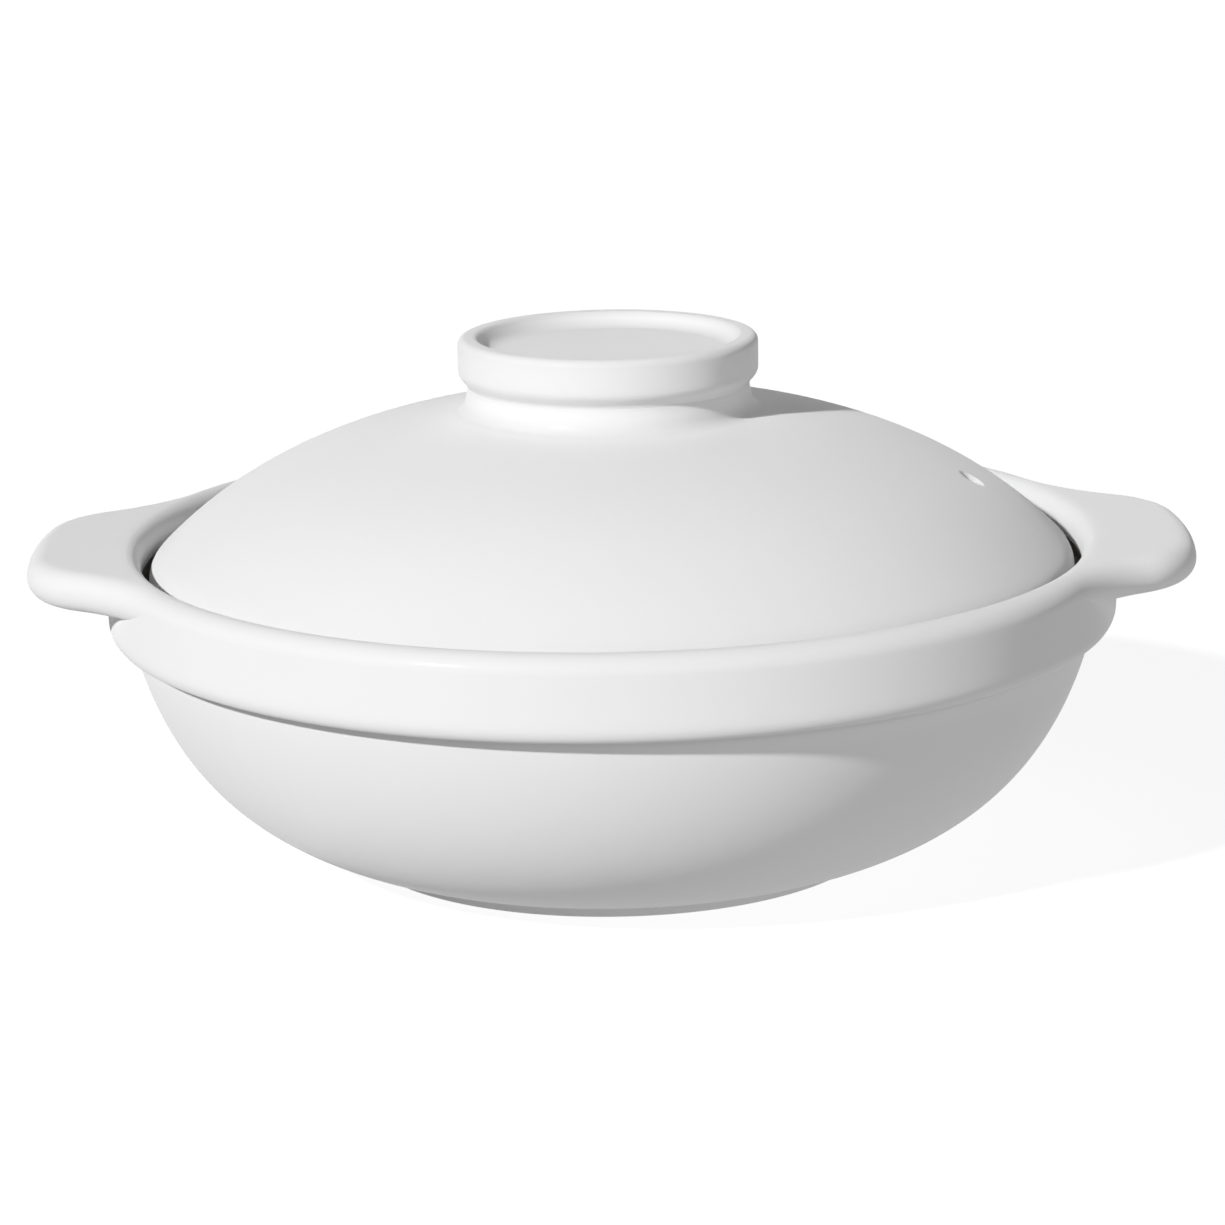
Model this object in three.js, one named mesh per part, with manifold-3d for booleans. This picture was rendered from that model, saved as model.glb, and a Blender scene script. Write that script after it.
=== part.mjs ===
// A lidded ceramic casserole: a low bowl with a thick rim band, a foot ring and two flat tab handles,
// under a domed lid with a steam vent and a ring knob.
// Millimetres, +Z up. The origin is the centre of the foot's underside, and the handles lie along X.

import * as THREE from 'three';
import { mergeVertices } from 'three/addons/utils/BufferGeometryUtils.js';
import Module from 'manifold-3d';

// The pot: rim band, bowl and foot
const RIM_DIAMETER = 240;
const POT_HEIGHT = 76.3;
const BAND_HEIGHT = 19.6;
const BAND_OVERHANG = 5.1;
const BAND_LOWER_ROUND = 1.5;
const RIM_WIDTH = 8;
const RIM_INNER_ROUND = 3.3;
const EDGE_ROUND = 4.6;
const LEDGE_DEPTH = 9;
const LEDGE_WIDTH = 8;
const BOWL_WALL = 6.5;
const SHOULDER_DRAFT_DEGREES = 13;
const BASE_RISE_DEGREES = 13;
const FOOT_DIAMETER = 125;
const FOOT_HEIGHT = 2.4;
const FOOT_WIDTH = 9;
const FOOT_ROUND = 0.8;

// The handles: flat tabs whose tops are flush with the rim
const HANDLE_REACH = 18.6;
const HANDLE_WIDTH = 78.5;
const HANDLE_THICKNESS = 9.5;
const HANDLE_CORNER_RADIUS = 25.5;
const HANDLE_FILLET_RADIUS = 49;

// The lid: a dome on the ledge inside the rim, a neck on its crown and a steam vent in its side
const LID_CLEARANCE = 1.9;
const LID_WALL = 6.5;
const LID_EDGE_HEIGHT = 1.5;
const LID_EDGE_TUCK = 1.8;
const LID_EDGE_ROUND = 6.8;
const DOME_RISE = 40;
const DOME_EDGE_DEGREES = 45;
const DOME_EDGE_PULL = 0.387;
const DOME_CROWN_PULL = 0.341;
const NECK_RISE = 3.7;
const NECK_FILLET = 3;
const NECK_WALL = 6;
const VENT_DIAMETER = 6.2;
const VENT_INSET = 24.2;
const VENT_ANGLE_DEGREES = -8.2;

// The knob: a ring with a shallow dished top, hollow underneath
const KNOB_DIAMETER = 71;
const KNOB_HEIGHT = 11.7;
const KNOB_OVERHANG = 2.65;
const KNOB_LIP = 3.5;
const KNOB_ROUND = 1.9;
const KNOB_LOWER_ROUND = 2.65;
const DISH_DEPTH = 3.5;
const DISH_SLOPE_WIDTH = 4.2;
const DISH_FLOOR = 5;

// The line of slip between a handle and the rim
const SEAM_GAP = 0.3;

// Facets
const TURN_SEGMENTS = 48;
const ROUND_STEPS = 4;
const WALL_STEPS = 12;
const OUTLINE_STEPS = 8;
const VENT_SEGMENTS = 24;
const HALVINGS = 40;

// The share of a span that a curve's handle takes to follow a quarter of an ellipse
const ELLIPSE_PULL = 0.5523;

// Sizes and heights that follow from the dimensions above
const rimRadius = RIM_DIAMETER / 2;
const rimWallRadius = rimRadius - RIM_WIDTH;
const bandBottom = POT_HEIGHT - BAND_HEIGHT;
const shoulderRadius = rimRadius - BAND_OVERHANG;
const ledgeHeight = POT_HEIGHT - LEDGE_DEPTH;
const ledgeInnerRadius = rimWallRadius - LEDGE_WIDTH;
const footRadius = FOOT_DIAMETER / 2;
const handleRootRadius = rimRadius - 4 * EDGE_ROUND;
const lidRadius = rimWallRadius - LID_CLEARANCE;
const lidEdgeTop = ledgeHeight + LID_EDGE_HEIGHT;
const crownHeight = lidEdgeTop + DOME_RISE;
const knobRadius = KNOB_DIAMETER / 2;
const neckRadius = knobRadius - KNOB_OVERHANG;
const hollowRadius = neckRadius - NECK_WALL;
const neckTop = crownHeight + NECK_RISE;
const knobTop = neckTop + KNOB_HEIGHT;

const wasm = await Module();
wasm.setup();

const glaze = new THREE.MeshStandardMaterial({ color: 0xf0efed, roughness: 0.42, metalness: 0 });
const bareClay = new THREE.MeshStandardMaterial({ color: 0x787369, roughness: 0.85, metalness: 0 });

function point(radius, height) {
  return new THREE.Vector2(radius, height);
}

function radians(degrees) {
  return THREE.MathUtils.degToRad(degrees);
}

// Points along a circular arc, from one direction to another
function arc(x, y, radius, from, to, steps) {
  const clockwise = to < from;
  return new THREE.EllipseCurve(x, y, radius, radius, from, to, clockwise).getPoints(steps);
}

// A rounded edge in a profile, between two directions in degrees
function roundOver(centreRadius, centreHeight, radius, from, to) {
  return arc(centreRadius, centreHeight, radius, radians(from), radians(to), ROUND_STEPS);
}

// A profile of (radius, height) points turned about the upright axis
function turned(profile) {
  const geometry = new THREE.LatheGeometry(profile, TURN_SEGMENTS);
  geometry.rotateX(Math.PI / 2);
  return geometry;
}

// A profile that doesn't reach the axis ends where it starts
function turnedRing(profile) {
  return turned([...profile, profile[0].clone()]);
}

function solidFrom(geometry) {
  const bare = geometry.clone();
  bare.deleteAttribute('normal');
  bare.deleteAttribute('uv');
  const merged = mergeVertices(bare);
  return new wasm.Manifold(new wasm.Mesh({
    numProp: 3,
    vertProperties: merged.attributes.position.array,
    triVerts: Uint32Array.from(merged.index.array),
  }));
}

function geometryFrom(solid) {
  const mesh = solid.getMesh();
  const geometry = new THREE.BufferGeometry();
  geometry.setAttribute('position', new THREE.BufferAttribute(mesh.vertProperties, 3));
  geometry.setIndex(new THREE.BufferAttribute(mesh.triVerts, 1));
  geometry.computeVertexNormals();
  return geometry;
}

function named(name, geometry, material) {
  const mesh = new THREE.Mesh(geometry, material);
  mesh.name = name;
  return mesh;
}

// The outside of the bowl, from the foot up to the shoulder under the rim band
function bowlCurve() {
  const height = bandBottom - FOOT_HEIGHT;
  const span = shoulderRadius - footRadius;
  const basePull = ELLIPSE_PULL * span;
  const shoulderPull = ELLIPSE_PULL * height;
  const baseRise = basePull * Math.tan(radians(BASE_RISE_DEGREES));
  const shoulderSlant = shoulderPull * Math.tan(radians(SHOULDER_DRAFT_DEGREES));
  return new THREE.CubicBezierCurve(
    point(footRadius, FOOT_HEIGHT),
    point(footRadius + basePull, FOOT_HEIGHT + baseRise),
    point(shoulderRadius - shoulderSlant, bandBottom - shoulderPull),
    point(shoulderRadius, bandBottom),
  );
}

// The inside of the bowl lies one wall in from the outside, and hangs straight down from the ledge
function bowlInside() {
  const outside = bowlCurve();
  const inside = [];
  for (let step = WALL_STEPS; step >= 0; step -= 1) {
    const share = step / WALL_STEPS;
    const place = outside.getPoint(share);
    const along = outside.getTangent(share);
    const inwards = point(-along.y, along.x);
    const wallPoint = place.addScaledVector(inwards, BOWL_WALL);
    if (wallPoint.x < ledgeInnerRadius) {
      inside.push(wallPoint);
    }
  }
  return inside;
}

function potBowl() {
  const inside = bowlInside();
  const floorHeight = inside.at(-1).y;
  const profile = [
    point(0, FOOT_HEIGHT),
    ...bowlCurve().getPoints(WALL_STEPS),
    ...roundOver(rimRadius - BAND_LOWER_ROUND, bandBottom + BAND_LOWER_ROUND, BAND_LOWER_ROUND, -90, 0),
    ...roundOver(rimRadius - EDGE_ROUND, POT_HEIGHT - EDGE_ROUND, EDGE_ROUND, 0, 90),
    ...roundOver(rimWallRadius + RIM_INNER_ROUND, POT_HEIGHT - RIM_INNER_ROUND, RIM_INNER_ROUND, 90, 180),
    point(rimWallRadius, ledgeHeight),
    point(ledgeInnerRadius, ledgeHeight),
    ...inside,
    point(0, floorHeight),
  ];
  return named('pot_bowl', turned(profile), glaze);
}

function footRing() {
  const innerRadius = footRadius - FOOT_WIDTH;
  const profile = [
    ...roundOver(innerRadius + FOOT_ROUND, FOOT_ROUND, FOOT_ROUND, 180, 270),
    ...roundOver(footRadius - FOOT_ROUND, FOOT_ROUND, FOOT_ROUND, 270, 360),
    point(footRadius, FOOT_HEIGHT),
    point(innerRadius, FOOT_HEIGHT),
  ];
  return named('foot_ring', turnedRing(profile), bareClay);
}

// A handle seen from above: an arc at the tip, two round corners and two hollow fillets that run out
// along the rim. Each circle touches the next, so the outline has no kink.
function handleOutline() {
  const tipRadius = rimRadius + HANDLE_REACH;
  const cornerDistance = tipRadius - HANDLE_CORNER_RADIUS;
  const cornerY = HANDLE_WIDTH / 2 - HANDLE_CORNER_RADIUS;
  const cornerAngle = Math.asin(cornerY / cornerDistance);
  const cornerX = cornerDistance * Math.cos(cornerAngle);
  const filletDistance = rimRadius + HANDLE_FILLET_RADIUS;
  const centreSpan = HANDLE_CORNER_RADIUS + HANDLE_FILLET_RADIUS;
  const turn = Math.acos(
    (cornerDistance ** 2 + filletDistance ** 2 - centreSpan ** 2) / (2 * cornerDistance * filletDistance),
  );
  const filletAngle = cornerAngle + turn;
  const filletX = filletDistance * Math.cos(filletAngle);
  const filletY = filletDistance * Math.sin(filletAngle);
  const touchAngle = Math.atan2(filletY - cornerY, filletX - cornerX);

  const lowerFillet = arc(
    filletX, -filletY, HANDLE_FILLET_RADIUS, -filletAngle - Math.PI, -touchAngle - Math.PI, OUTLINE_STEPS,
  );
  const lowerCorner = arc(
    cornerX, -cornerY, HANDLE_CORNER_RADIUS, -touchAngle, -cornerAngle, OUTLINE_STEPS,
  );
  const tip = arc(0, 0, tipRadius, -cornerAngle, cornerAngle, OUTLINE_STEPS);
  const upperCorner = arc(cornerX, cornerY, HANDLE_CORNER_RADIUS, cornerAngle, touchAngle, OUTLINE_STEPS);
  const upperFillet = arc(
    filletX, filletY, HANDLE_FILLET_RADIUS, touchAngle + Math.PI, filletAngle + Math.PI, OUTLINE_STEPS,
  );
  const root = arc(0, 0, handleRootRadius, filletAngle, -filletAngle, OUTLINE_STEPS);
  return new THREE.Shape([
    ...lowerFillet,
    ...lowerCorner.slice(1),
    ...tip.slice(1),
    ...upperCorner.slice(1),
    ...upperFillet.slice(1),
    ...root,
  ]);
}

// The space that the rim takes up, one slip line larger all round
function rimSpace() {
  const innerRadius = handleRootRadius - EDGE_ROUND;
  const roundRadius = EDGE_ROUND + SEAM_GAP;
  const profile = [
    point(innerRadius, bandBottom),
    point(rimRadius + SEAM_GAP, bandBottom),
    ...roundOver(rimRadius - EDGE_ROUND, POT_HEIGHT - EDGE_ROUND, roundRadius, 0, 90),
    point(innerRadius, POT_HEIGHT + SEAM_GAP),
  ];
  return solidFrom(turnedRing(profile));
}

function handleGeometry() {
  const edgeRound = Math.min(EDGE_ROUND, HANDLE_THICKNESS / 2);
  const slab = new THREE.ExtrudeGeometry(handleOutline(), {
    depth: HANDLE_THICKNESS - 2 * edgeRound,
    bevelThickness: edgeRound,
    bevelSize: edgeRound,
    bevelOffset: -edgeRound,
    bevelSegments: ROUND_STEPS,
  });
  slab.translate(0, 0, POT_HEIGHT - HANDLE_THICKNESS + edgeRound);
  return geometryFrom(solidFrom(slab).subtract(rimSpace()));
}

function handles() {
  const right = named('right_handle', handleGeometry(), glaze);
  const left = named('left_handle', handleGeometry(), glaze);
  left.rotation.z = Math.PI;
  return [right, left];
}

// The top of the dome, from its rounded edge to the middle of its crown, where it lies level
function domeCurve() {
  const slope = radians(DOME_EDGE_DEGREES);
  const start = point(
    lidRadius - LID_EDGE_ROUND + LID_EDGE_ROUND * Math.sin(slope),
    lidEdgeTop + LID_EDGE_ROUND * Math.cos(slope),
  );
  const edgePull = DOME_EDGE_PULL * start.x;
  return new THREE.CubicBezierCurve(
    start,
    point(start.x - edgePull * Math.cos(slope), start.y + edgePull * Math.sin(slope)),
    point(DOME_CROWN_PULL * start.x, crownHeight),
    point(0, crownHeight),
  );
}

// A point of the dome's wall, a share of the way up the dome and some way in from its top face
function domeWall(share, inset) {
  const dome = domeCurve();
  const along = dome.getTangent(share);
  const inwards = point(-along.y, along.x);
  return dome.getPoint(share).addScaledVector(inwards, inset);
}

// The share of the way up the dome at which its wall has a given radius
function domeShare(radius, inset) {
  let low = 0;
  let high = 1;
  for (let step = 0; step < HALVINGS; step += 1) {
    const middle = (low + high) / 2;
    if (domeWall(middle, inset).x > radius) {
      low = middle;
    } else {
      high = middle;
    }
  }
  return low;
}

function domeSpan(from, to, inset) {
  const points = [];
  for (let step = 0; step <= WALL_STEPS; step += 1) {
    points.push(domeWall(THREE.MathUtils.lerp(from, to, step / WALL_STEPS), inset));
  }
  return points;
}

// The steam vent, punched straight down through the dome
function ventPunch() {
  const radius = VENT_DIAMETER / 2;
  const geometry = new THREE.CylinderGeometry(radius, radius, DOME_RISE, VENT_SEGMENTS);
  geometry.rotateX(Math.PI / 2);
  geometry.translate(lidRadius - VENT_INSET, 0, lidEdgeTop + DOME_RISE / 2);
  geometry.rotateZ(radians(VENT_ANGLE_DEGREES));
  return solidFrom(geometry);
}

function lidDome() {
  const edge = new THREE.QuadraticBezierCurve(
    point(lidRadius - LID_EDGE_TUCK, ledgeHeight),
    point(lidRadius, ledgeHeight),
    point(lidRadius, lidEdgeTop),
  );
  const edgeTurn = 90 - DOME_EDGE_DEGREES;
  const filletShare = domeShare(neckRadius + NECK_FILLET, 0);
  const neckFoot = domeWall(domeShare(neckRadius, 0), 0);
  const fillet = new THREE.QuadraticBezierCurve(
    domeWall(filletShare, 0),
    neckFoot,
    point(neckRadius, neckFoot.y + NECK_FILLET),
  );
  const profile = [
    ...domeSpan(domeShare(hollowRadius, LID_WALL), 0, LID_WALL),
    point(lidRadius - LID_WALL, ledgeHeight),
    ...edge.getPoints(ROUND_STEPS),
    ...roundOver(lidRadius - LID_EDGE_ROUND, lidEdgeTop, LID_EDGE_ROUND, 0, edgeTurn).slice(1),
    ...domeSpan(0, filletShare, 0).slice(1),
    ...fillet.getPoints(ROUND_STEPS).slice(1),
    point(neckRadius, neckTop),
    point(hollowRadius, neckTop),
  ];
  const vented = solidFrom(turnedRing(profile)).subtract(ventPunch());
  return named('lid_dome', geometryFrom(vented), glaze);
}

function lidKnob() {
  const dishHeight = knobTop - DISH_DEPTH;
  const lipRadius = knobRadius - KNOB_LIP;
  const dishRadius = lipRadius - DISH_SLOPE_WIDTH;
  const dishSlope = new THREE.CubicBezierCurve(
    point(lipRadius, knobTop),
    point(lipRadius - DISH_SLOPE_WIDTH / 2, knobTop),
    point(lipRadius - DISH_SLOPE_WIDTH / 2, dishHeight),
    point(dishRadius, dishHeight),
  );
  const profile = [
    point(0, dishHeight - DISH_FLOOR),
    point(hollowRadius, dishHeight - DISH_FLOOR),
    point(hollowRadius, neckTop),
    ...roundOver(knobRadius - KNOB_LOWER_ROUND, neckTop + KNOB_LOWER_ROUND, KNOB_LOWER_ROUND, -90, 0),
    ...roundOver(knobRadius - KNOB_ROUND, knobTop - KNOB_ROUND, KNOB_ROUND, 0, 90),
    ...dishSlope.getPoints(ROUND_STEPS),
    point(0, dishHeight),
  ];
  return named('lid_knob', turned(profile), glaze);
}

const pot = new THREE.Group();
pot.add(potBowl(), footRing(), ...handles());

const lid = new THREE.Group();
lid.add(lidDome(), lidKnob());

const casserole = new THREE.Group();
casserole.add(pot, lid);

export default casserole;
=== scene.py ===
"""A white lidded ceramic pot: bowl, foot ring, two tab handles, domed lid and ring knob.

Every piece is a surface worked out as whole arrays, in metres and in the frame of the packed solids.
"""

import math

import bpy
import numpy as np
from mathutils import Matrix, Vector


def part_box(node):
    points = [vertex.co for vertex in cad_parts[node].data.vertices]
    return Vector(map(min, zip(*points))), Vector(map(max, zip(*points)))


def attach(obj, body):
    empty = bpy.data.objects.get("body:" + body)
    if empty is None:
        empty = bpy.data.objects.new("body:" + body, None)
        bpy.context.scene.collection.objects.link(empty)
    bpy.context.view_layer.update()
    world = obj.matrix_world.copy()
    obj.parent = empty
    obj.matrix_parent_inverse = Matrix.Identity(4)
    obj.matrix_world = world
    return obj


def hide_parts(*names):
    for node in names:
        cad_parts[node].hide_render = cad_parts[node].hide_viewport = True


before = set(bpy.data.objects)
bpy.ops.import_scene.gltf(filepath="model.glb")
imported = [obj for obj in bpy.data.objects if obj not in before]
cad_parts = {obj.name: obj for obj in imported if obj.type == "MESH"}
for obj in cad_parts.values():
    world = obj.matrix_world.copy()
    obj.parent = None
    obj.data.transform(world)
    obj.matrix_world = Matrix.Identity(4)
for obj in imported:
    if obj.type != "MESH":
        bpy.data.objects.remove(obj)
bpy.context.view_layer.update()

bl_info = {
    "name": "Lidded Ceramic Pot",
    "version": (1, 0, 0),
    "blender": (4, 5, 0),
    "location": "3D View > Sidebar > Pot",
    "description": "Builds a white lidded ceramic pot around its packed solids",
    "category": "Object",
}

# How finely the surfaces are worked out
TURNS = 320
FINE_STEP = 0.00005
WIDEST_STEP = 0.0022
MOST_BEND = math.radians(7)
CURVE_POINTS = 240
CORNER_POINTS = 60

# Width of the blur on a profile's bends, how many widths it reaches, and the least step along a profile
BEND_SPREAD = 0.0005
BLUR_REACH = 4
SAME_PLACE = 1e-9

# A bend of this radius or a tighter one gets the thinnest glaze where it bulges and the darkest painted shade
# where it is hollow
FULL_BEND_RADIUS = 0.003

# The share of a span that a curve's handle takes to follow a quarter of an ellipse
ELLIPSE_PULL = 0.5523

# Steps along each arc of a tab's outline and along the runs of its section
TAB_STEPS = 28
TAB_FLAT_STEPS = 10
TAB_ROUND_STEPS = 12

# A tab's hidden skin over its section's least step, and over the depth in the rim at which its underside ends
TINY_PARTS = 10
CUT_PARTS = 3

# How much deeper than its hollow a tab's underside is where the hollow is whole
HOLLOW_ROOM = 3

# How thin the glaze lies on a tab's edge, and the bend above which a tab's edges stay sharp
TAB_EDGE_THIN = 0.6
SHARP_ANGLE = math.radians(40)

# Cells along each side of the square that the vent takes out of the lid's grid, and steps round its lip
VENT_CELLS = 10
VENT_LIP_STEPS = 6

# Soft corners of the lid: at the waist over the neck's upright run, and two inside ones over the edge's tuck
WAIST_SOFT = 0.9
HOLLOW_SOFT = 1.5
SEAT_SOFT = 0.5

# How far the curve under the knob's ring holds upright at the neck's waist and at the ring's wall
RING_WAIST_PULL = 0.3
RING_WALL_PULL = 0.5

# Where between the lip and the dish their slope is steepest
DISH_STEEPEST = 0.36

# How steeply bare clay gives way to glaze along a wiped edge, per metre
SEAT_WIPED_EDGE = 4000.0
FOOT_WIPED_EDGE = 16000.0

# How ragged a wiped edge is, and how far the bare clay, dark as painted shade for the gap under the lid,
# reaches past the ledge
SEAT_RAGGED = 0.0005
FOOT_RAGGED = 0.00005
SEAT_MARGIN = 0.0005
SEAT_INNER_MARGIN = 0.0004

# Noise in the glaze and the clay: its scales per metre, its detail and its middle value
CLOUD_SCALE = 34.0
RIPPLE_SCALE = 190.0
GRAIN_SCALE = 1500.0
FOOT_CLOUD_SCALE = 120.0
FOOT_GRAIN_SCALE = 1800.0
NOISE_DETAIL = 3.0
FINE_NOISE_DETAIL = 2.0
NOISE_MIDDLE = 0.5

# How far edges, cloud and grain shift the tone of glaze and clay, and the noise at which the shift starts
EDGE_TONE = 0.7
CLOUD_TONE = 0.5
CLOUD_START = 0.35
FOOT_CLOUD_TONE = 0.6
FOOT_GRAIN_TONE = 0.5
FOOT_GRAIN_START = 0.4

# How far cloud, grain and edges shift the roughness of the glaze
CLOUD_ROUGHNESS = 0.10
GRAIN_ROUGHNESS = 0.06
EDGE_ROUGHNESS = 0.05

# Relief of the grain over the ripple's, in glaze and what clay adds, and strength and height of the bumps
GLAZE_RELIEF = 0.12
CLAY_RELIEF = 1.2
RIPPLE_STRENGTH = 0.12
RIPPLE_HEIGHT = 0.0004
FOOT_STRENGTH = 0.4
FOOT_HEIGHT = 0.0003

# Refractive index of the glaze
GLAZE_IOR = 1.5

# A colour Mix node's sockets by number, because three kinds of value share their names
MIX_FIRST = 6
MIX_SECOND = 7
MIX_RESULT = 2

WHITE = (1.0, 1.0, 1.0, 1.0)

# The photograph's side and focal length in pixels, and its camera with a sensor in millimetres
IMAGE_SIDE = 1225
FOCAL_PIXELS = 4200
SENSOR_WIDTH = 36
CAMERA_PLACE = (0.0, -0.978512, 0.298336)
CAMERA_PITCH = math.radians(13.889)
CAMERA_ROLL = math.radians(-1.002)


def length(name, description, default):
    """A property that holds a length."""
    return bpy.props.FloatProperty(
        name=name, description=description, default=default, min=0.0, precision=5, unit="LENGTH"
    )


def angle(name, description, degrees):
    """A property that holds an angle, given in degrees."""
    return bpy.props.FloatProperty(
        name=name, description=description, default=math.radians(degrees), subtype="ANGLE"
    )


def share(name, description, default):
    """A property that holds a plain number from nothing to one."""
    return bpy.props.FloatProperty(
        name=name, description=description, default=default, min=0.0, max=1.0, subtype="FACTOR"
    )


def amount(name, description, default):
    """A property that holds a plain number."""
    return bpy.props.FloatProperty(name=name, description=description, default=default, min=0.0)


def colour(name, description, default):
    """A property that holds a linear colour."""
    return bpy.props.FloatVectorProperty(
        name=name, description=description, default=default, size=3, min=0.0, max=1.0, subtype="COLOR"
    )


class PotSizes(bpy.types.PropertyGroup):
    """Sizes of the bowl, its rim band and its foot"""

    band_height: length("Band height", "Height of the thick band round the rim", 0.0196)
    band_overhang: length("Band overhang", "How far the band stands out from the bowl", 0.0051)
    band_lower_round: length("Band lower round", "Width of the band's rounded lower edge", 0.0025)
    band_lower_rise: length("Band lower rise", "Height of the band's rounded lower edge", 0.0036)
    band_corner: length("Band corner", "Reach of the soft corner under the band", 0.0011)
    rim_width: length("Rim width", "Width of the rim, from the outside in", 0.008)
    rim_inner_round: length("Rim inner round", "Radius of the rim's inner edge", 0.0042)
    crest_reach: length("Crest reach", "Reach of the soft crest where the rim's two rounds meet", 0.0007)
    edge_round: length("Edge round", "Radius of the rim's outer edge and of the handles' edges", 0.0046)
    ledge_depth: length("Ledge depth", "How far the lid's ledge lies below the rim", 0.009)
    ledge_width: length("Ledge width", "Width of the lid's ledge", 0.008)
    ledge_corner: length("Ledge corner", "Reach of the soft corners of the ledge", 0.0012)
    seat_height: length("Seat height", "Height of the bare clay above the ledge", 0.002)
    wall: length("Wall", "Thickness of the bowl's wall", 0.0065)
    shoulder_draft: angle("Shoulder draft", "Lean of the bowl's wall at the band", 13)
    base_rise: angle("Base rise", "Rise of the bowl's wall at the foot", 13)
    floor_blend: length("Floor blend", "Reach of the soft bend from the wall to the floor inside", 0.012)
    foot_width: length("Foot width", "Width of the foot ring", 0.009)
    foot_round: length("Foot round", "Radius of the foot ring's lower edges", 0.0005)
    foot_corner: length("Foot corner", "Reach of the soft corner between foot and bowl", 0.0013)
    foot_skin: length("Foot skin", "How far the foot ring's hidden top lies inside the bowl", 0.0002)


class HandleSizes(bpy.types.PropertyGroup):
    """Sizes of the two tab handles"""

    width: length("Width", "Width of a tab, without its run-outs", 0.0785)
    thickness: length("Thickness", "Thickness of a tab", 0.0095)
    corner_radius: length("Corner radius", "Radius of a tab's corners seen from above", 0.0255)
    fillet_radius: length("Fillet radius", "Radius of the hollow where a tab runs out along the rim", 0.049)
    under_fillet: length("Under fillet", "Size of the hollow between a tab's underside and the band", 0.0016)
    sink: length("Sink", "How far a tab's run-outs lie under the rim's skin", 0.000009)
    skin: length("Skin", "How far a tab's hidden face lies inside the rim", 0.0003)


class LidSizes(bpy.types.PropertyGroup):
    """Sizes of the domed lid and its vent"""

    wall: length("Wall", "Thickness of the lid's wall", 0.0065)
    edge_height: length("Edge height", "Height of the lid's edge above the ledge", 0.0015)
    edge_round: length("Edge round", "Radius of the lid's upper edge", 0.0068)
    edge_tuck: length("Edge tuck", "Reach of the soft corner under the lid's edge", 0.0014)
    edge_slope: angle("Edge slope", "Slope of the dome at its edge", 45)
    edge_pull: share("Edge pull", "How long the dome holds the slope of its edge", 0.387)
    crown_pull: share("Crown pull", "How long the dome stays level at its crown", 0.341)
    neck_rise: length("Neck rise", "Height of the neck's top above the crown", 0.0037)
    neck_flare: length("Neck flare", "How much wider the neck's foot is than its waist", 0.0011)
    neck_waist: length("Neck waist", "Height of the upright run at the neck's waist", 0.0008)
    neck_fillet: length("Neck fillet", "Reach of the hollow between dome and neck", 0.0024)
    neck_wall: length("Neck wall", "Thickness of the neck's wall", 0.006)
    vent_diameter: length("Vent diameter", "Diameter of the steam vent", 0.0054)
    vent_inset: length("Vent inset", "Distance of the vent's middle from the lid's edge", 0.0242)
    vent_angle: angle("Vent angle", "Direction of the vent from the right handle", -8.2)
    vent_lip: length("Vent lip", "Radius of the vent's edges", 0.0004)


class KnobSizes(bpy.types.PropertyGroup):
    """Sizes of the ring knob"""

    overhang: length("Overhang", "How far the ring stands out from the neck", 0.0021)
    lower_round: length("Lower round", "Height of the ring's rounded lower edge", 0.0039)
    upper_round: length("Upper round", "Radius of the ring's upper edge", 0.0019)
    lip: length("Lip", "Width of the ring's lip", 0.0035)
    hollow_corner: length("Hollow corner", "Reach of the soft corner of the hollow under the dish", 0.0006)
    dish_depth: length("Dish depth", "Depth of the dish in the ring's top", 0.0035)
    dish_slope: length("Dish slope", "Width of the slope between lip and dish", 0.0056)
    dish_floor: length("Dish floor", "Thickness of the dish", 0.005)


class GlazeLook(bpy.types.PropertyGroup):
    """Colours and finish of the glaze and the bare clay, with painted shade in hollows and on the lid's seat
    """

    white: colour("White", "Colour of the glaze", (0.81, 0.81, 0.81))
    thin: colour("Thin", "Colour of the glaze where it is thin on an edge", (0.78, 0.78, 0.78))
    # Painted shade: a darker glaze colour laid into hollows, where shade falls
    shaded: colour("Thick", "Colour of the glaze where it lies thick in a hollow", (0.74, 0.74, 0.74))
    # The seat and the foot's underside are bare clay; its very dark colour is painted shade for the gap
    # between lid and rim, and the foot's underside shares it
    clay: colour("Clay", "Colour of the bare fired clay", (0.15, 0.135, 0.12))
    clay_grain: colour("Clay grain", "Colour of the pale grains in the bare clay", (0.24, 0.22, 0.195))
    glaze_roughness: share("Glaze roughness", "Roughness of the glaze", 0.55)
    specular: share("Specular", "Strength of the glaze's own reflection", 0.07)
    coat: share("Coat", "Strength of the clear skin on the glaze", 0.05)
    coat_roughness: share("Coat roughness", "Roughness of the clear skin on the glaze", 0.18)
    chalk: share("Chalk", "How evenly the glaze's body spreads light to all sides, as chalk does", 0.26)
    clay_roughness: share("Clay roughness", "Roughness of the bare clay", 0.86)


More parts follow.
